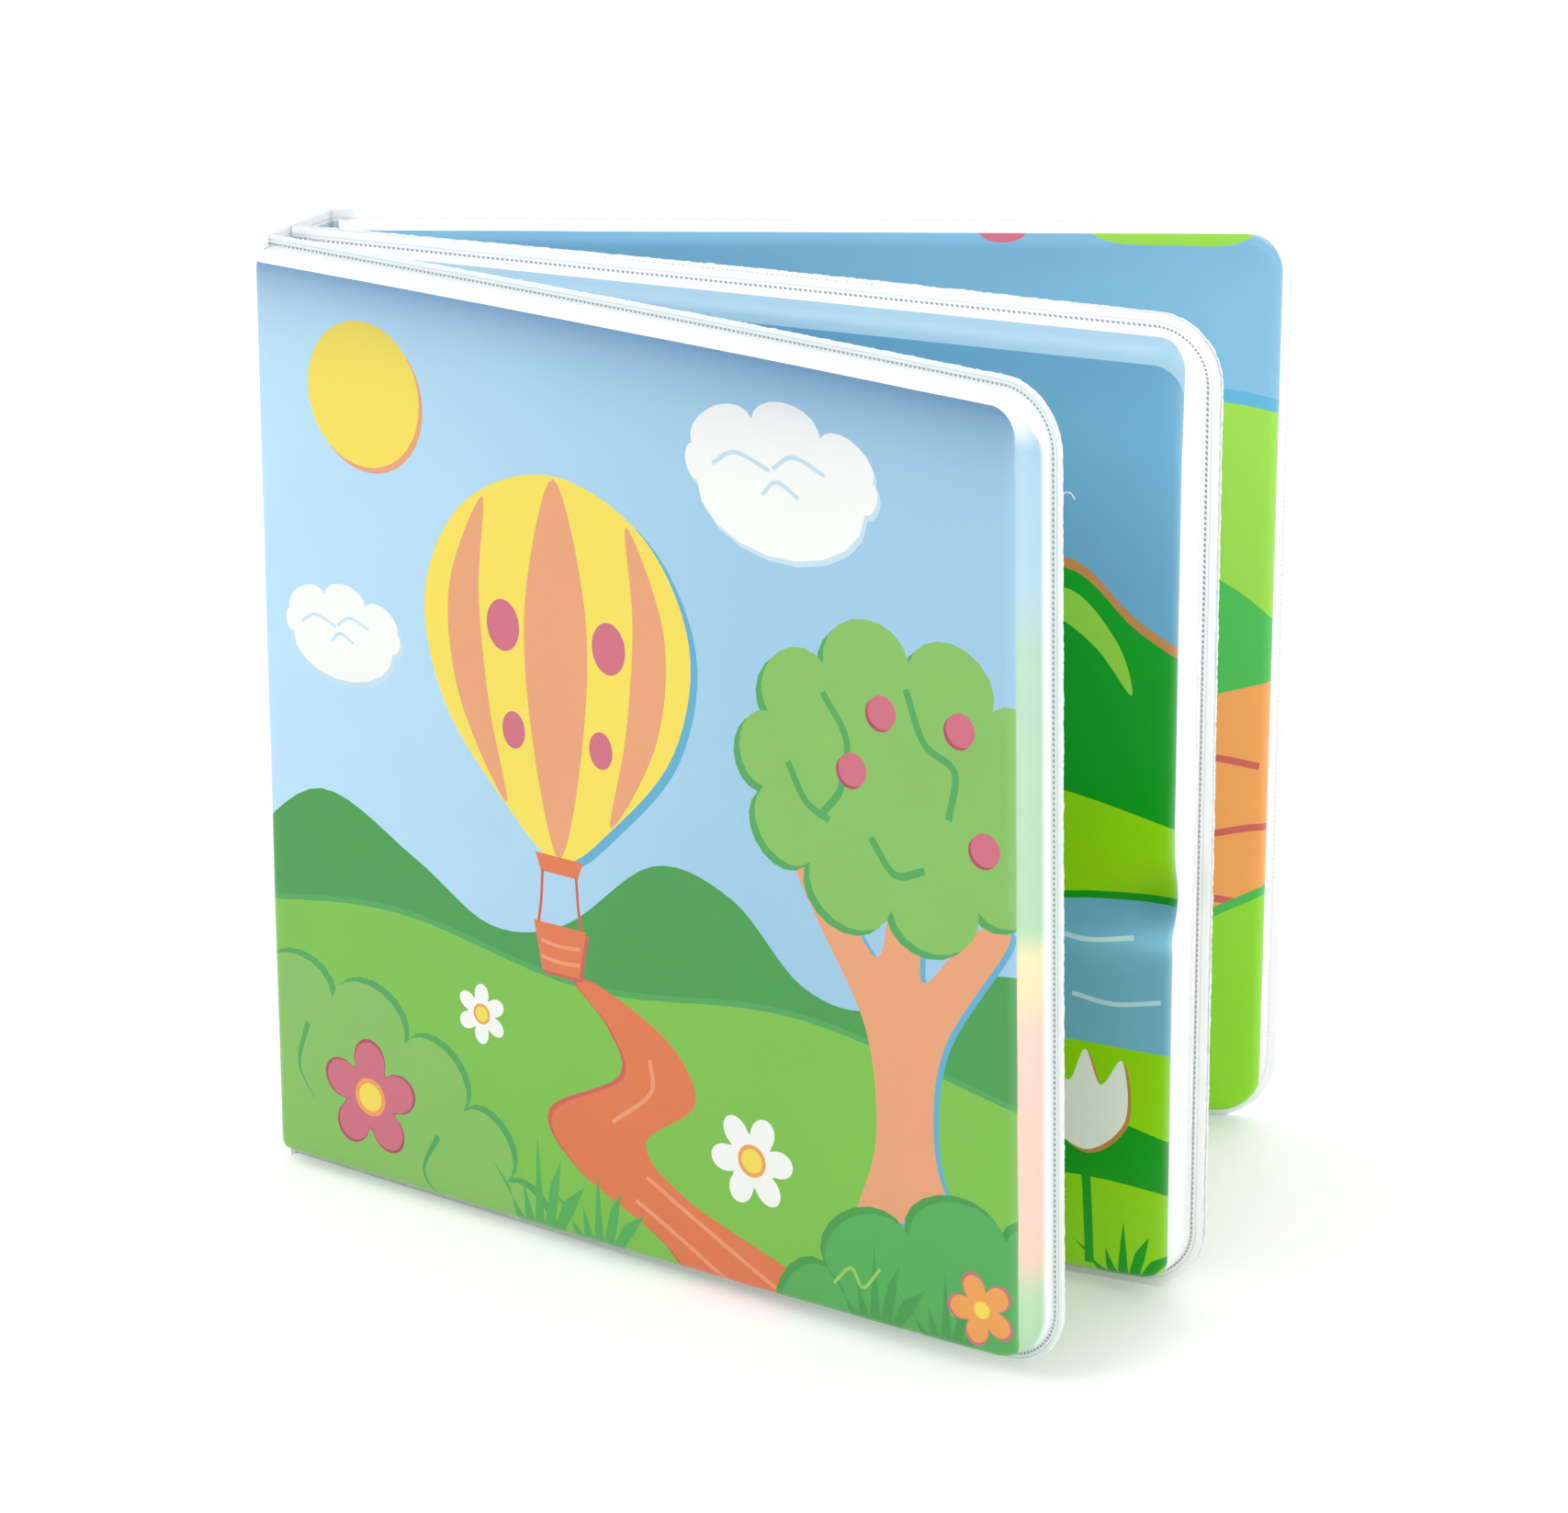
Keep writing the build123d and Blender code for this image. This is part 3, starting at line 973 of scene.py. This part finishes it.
wood_art = []
cloud(wood_art, 96, 118, 9)
cloud(wood_art, 34, 104, 6)
land(wood_art, "hill", [(-4, 70), (26, 84), (58, 72), (90, 82), (120, 70), (144, 78)])
land(wood_art, "leaf", [(-4, 48), (50, 56), (100, 46), (144, 54)], "leaf_dark", 1.0)
for u, v, size in ((42, 34, 1.0), (84, 44, 1.25), (112, 22, 0.8)):
    rimmed(wood_art, "white", "peach",
           smooth([(u - 5 * size, v - 16 * size), (u + 5 * size, v - 16 * size), (u + 3.6 * size, v),
                   (u - 3.6 * size, v)]), (0.6, -0.4))
    rimmed(wood_art, "terracotta", "red_brown",
           smooth([(u - 17 * size, v), (u - 11 * size, v + 13 * size), (u, v + 18 * size),
                   (u + 11 * size, v + 13 * size), (u + 17 * size, v), (u, v - 3 * size)]), (0.7, -0.7))
    for du, dv, r in ((-8, 6, 2.6), (1, 11, 3.0), (9, 5, 2.3), (0, 2.5, 1.8)):
        fill(wood_art, "white", disc(u + du * size, v + dv * size, r * size))
for u in (16, 62, 100, 128):
    fill(wood_art, "leaf_dark", tuft(u, 4, 9, 12))
blossom(wood_art, 16, 22, 6.5, 6, "yellow", "orange")
blossom(wood_art, 128, 40, 6.0, 5, "pink", "pink_dark")


def page_lean(u, v, n):
    """The pages' foot corner stands a little further out than their head corner."""
    return u + 0.7 * np.clip(u / leaf_width, 0, 1) * (1 - v / leaf_height), v, n


def head_curl(u, v, n):
    """The far page's welded rim curls away from the near one along the head."""
    rim_share = np.clip((v - leaf_height + flange + 0.2) / (flange + 0.2), 0, 1)
    curl = 1.7 * rim_share * np.sin(math.pi * np.clip(u / leaf_width, 0, 1)) ** 1.3
    return page_lean(u, v, n + curl)


near_leaf = Leaf(-0.2, -1, -page_setback, 2.0, warp=page_lean, top_wall=6.0)
near_leaf.buckle = 1.5
far_leaf = Leaf(0.2, 1, -page_setback, 2.0, warp=head_curl, top_wall=4.0)
near_leaf.rim_extra = far_leaf.rim_extra = 0.4
near_leaf.back_line = far_leaf.back_line = 0.55
head_glow = ((100, "#9CC4DA"), (140, "#A6CADE"))
# Painted light on the near page: gain lifts its inks for the light through its films, and its welded rim is
# painted 1.12 times as light as the white film, burnt out by light.
page_films = film_piece("page_films", [
    envelope(leaf, film_side(leaf, art, ("inner_sky",), True, seed, (3.6, head, 2.14),
                             (3.55, tint_head, 2.12), head_glow, gain=gain, rim_colour=rim_colour),
             film_side(leaf, [], ("sky",), False, seed + 1))
    for leaf, art, seed, head, tint_head, gain, rim_colour in (
        (near_leaf, pond_art, 31, 5.8, 2.45, 1.2, 1.12 * white_film),
        (far_leaf, wood_art, 41, 4.2, 2.4, 1.0, white_film),
    )
])
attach(page_films, "root")
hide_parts("pages")
foam_pad("near_page_foam", near_leaf, 31, "root", "near_page_pad")
foam_pad("far_page_foam", far_leaf, 41, "root", "far_page_pad")


# Spine: the strip of the same printed film between the covers, both films welded together. It bows out
# a little, and the covers' weld lines run on across its head and foot.
strip_step = 1.2
spine_bow = 0.3
spine_film = 0.3


def printed_strip(name, art, ground, low, high, place, rows, film, flip):
    """A printed strip of the book's full height, curved by place(u, v) and film millimetres thick."""
    lines = [0.0, 0.45, 1.1, weld_line, 1.4, flange]
    heights = lines + list(np.arange(flange + strip_step, leaf_height - flange - 0.5, strip_step))
    heights += [leaf_height - line for line in lines[::-1]]
    columns = np.linspace(low, high, rows)
    verts = [(u, v) for u in columns for v in heights]
    tall = len(heights)
    edges = [(c * tall + r, c * tall + r + 1) for c in (0, rows - 1) for r in range(tall - 1)]
    edges += [(c * tall + r, (c + 1) * tall + r) for r in range(tall) for c in range(rows - 1)
              if r < 6 or r > tall - 7]
    print_edge = np.array([(low, flange), (high, flange), (high, leaf_height - flange),
                           (low, leaf_height - flange)])
    flat, triangles, sources, colours, middle = printed(verts, edges, print_edge, art, ground)
    bare = (middle[:, 1] < flange) | (middle[:, 1] > leaf_height - flange)
    colours[bare] = white_film
    colours[:, 3] = 0.25
    if flip:
        triangles = triangles[:, ::-1]
    to_edge = np.minimum(flat[:, 1], leaf_height - flat[:, 1])
    strip = film_mesh(name, [place(u, v) for u, v in flat], [list(t) for t in triangles],
                      np.repeat(colours, 3, axis=0), to_edge, flat[:, 0])
    thick = strip.modifiers.new("film", "SOLIDIFY")
    thick.thickness = film / 1000
    thick.offset = -1
    bpy.ops.object.modifier_apply(modifier="film")
    bpy.ops.object.shade_smooth_by_angle(angle=math.radians(38))
    return strip


spine_art = []
land(spine_art, "hill", [(-14, 50), (-5.8, 52), (3, 45), (14, 38)])
for ink, skyline in (("bush", [(-14, 40), (-5.8, 41.4), (4, 46), (11.8, 49), (14, 49.5)]),
                     ("leaf", [(-14, 29), (-5.8, 28.6), (4, 23), (11.8, 27), (14, 28)])):
    land(spine_art, ink, skyline, "leaf_dark")
spine_middle = (cover_face - page_face) / 2
spine_reach = (cover_face + page_face) / 2


def on_spine(w, v):
    """A point on the spine's outer face: w is across it, from the front cover to the back cover."""
    share = (w - spine_middle) / spine_reach
    bow = spine_bow * (1 - share ** 2) * (1 + 0.3 * noise.noise(Vector((w / 9, v / 22, 51))))
    return (-(0.6 + bow) / 1000, w / 1000, v / 1000)


spine = printed_strip("spine_film", spine_art, inks["sky"], -page_face, cover_face, on_spine, 21,
                      spine_film, True)
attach(spine, "root")
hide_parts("spine")


# Hinge films: the printed film runs on round each long edge of the spine and on to the cover. Each strip
# blends between the spine and its cover.
hinge_film = 0.12
hinge_lift = 0.06


def hinge_strip(name, leaf, art, low, high, side, reach):
    """The film round one edge of the spine, side -1 for the front, printed with its cover's art.

    low and high are the art's places along the cover, and reach lists (u, n) on the leaf.
    """
    edge = cover_face if side > 0 else page_face
    bends = [(-0.74, side * (edge - 1.1)), (-0.74, side * (edge - 0.5)), (-0.72, side * (edge - 0.1))]

    def on_hinge(u, v):
        leaf_u, leaf_n = np.array(reach).T
        spots = leaf.place(leaf_u, np.full(len(reach), v), leaf_n)
        path = smooth(bends + [tuple(p) for p in spots[:, :2] * 1000], closed=False, steps=6)
        lengths = along(path)
        at = (u - low) / (high - low) * lengths[-1]
        x, y = (np.interp(at, lengths, path[:, axis]) for axis in (0, 1))
        return (x / 1000, y / 1000, v / 1000)

    strip = printed_strip(name, art, inks["sky"], low, high, on_hinge, 15, hinge_film, side > 0)
    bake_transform(strip)


hinge_strip("front_hinge_film", front_leaf, cover_art, -1.2, 0.9, -1,
            [(0.22, 0.2), (0.30, 1.0), (0.42, 1.8)])
hinge_strip("back_hinge_film", back_leaf, meadow_art, -1.9, 3.4, 1,
            [(1.1, -hinge_lift), (3.4, -hinge_lift)])


# Film whisker: a hair of vinyl that the trimming knife left on the front cover's fore edge
whisker_height = 125.0
whisker = bpy.data.curves.new("film_whisker", "CURVE")
whisker.dimensions = "3D"
whisker.bevel_depth = 0.00005
whisker.bevel_resolution = 2
whisker.use_fill_caps = True
line = whisker.splines.new("NURBS")
route = [(139.8, 0.0, 0.3), (140.3, 0.8, 0.4), (141.0, 1.2, 0.6), (141.8, 1.2, 0.8), (142.3, 0.9, 0.9),
         (142.6, 0.5, 1.0)]
line.points.add(len(route) - 1)
for point, (u, rise_v, n) in zip(line.points, route):
    spot = front_leaf.place(np.array([u]), np.array([whisker_height + rise_v]), np.array([n]))[0]
    point.co = (*spot, 1)
line.order_u = 3
line.use_endpoint_u = True
add_object("film_whisker", whisker)
bpy.ops.object.convert(target="MESH")
clear_vinyl, tree = new_material("clear_vinyl_hair")
place = node(tree, "TexCoord")
mottle = node(tree, "TexNoise", Vector=place.outputs["Object"], Scale=900.0)
shade = graded(tree, mottle.outputs[0], 0.85, 0.98)
hair = node(tree, "BsdfPrincipled", Base_Color=grey(tree, shade), Roughness=0.3)
node(tree, "OutputMaterial", Surface=hair.outputs[0])
whisker_piece = bpy.context.active_object
whisker_piece.data.materials.clear()
whisker_piece.data.materials.append(clear_vinyl)
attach(whisker_piece, "front_cover")
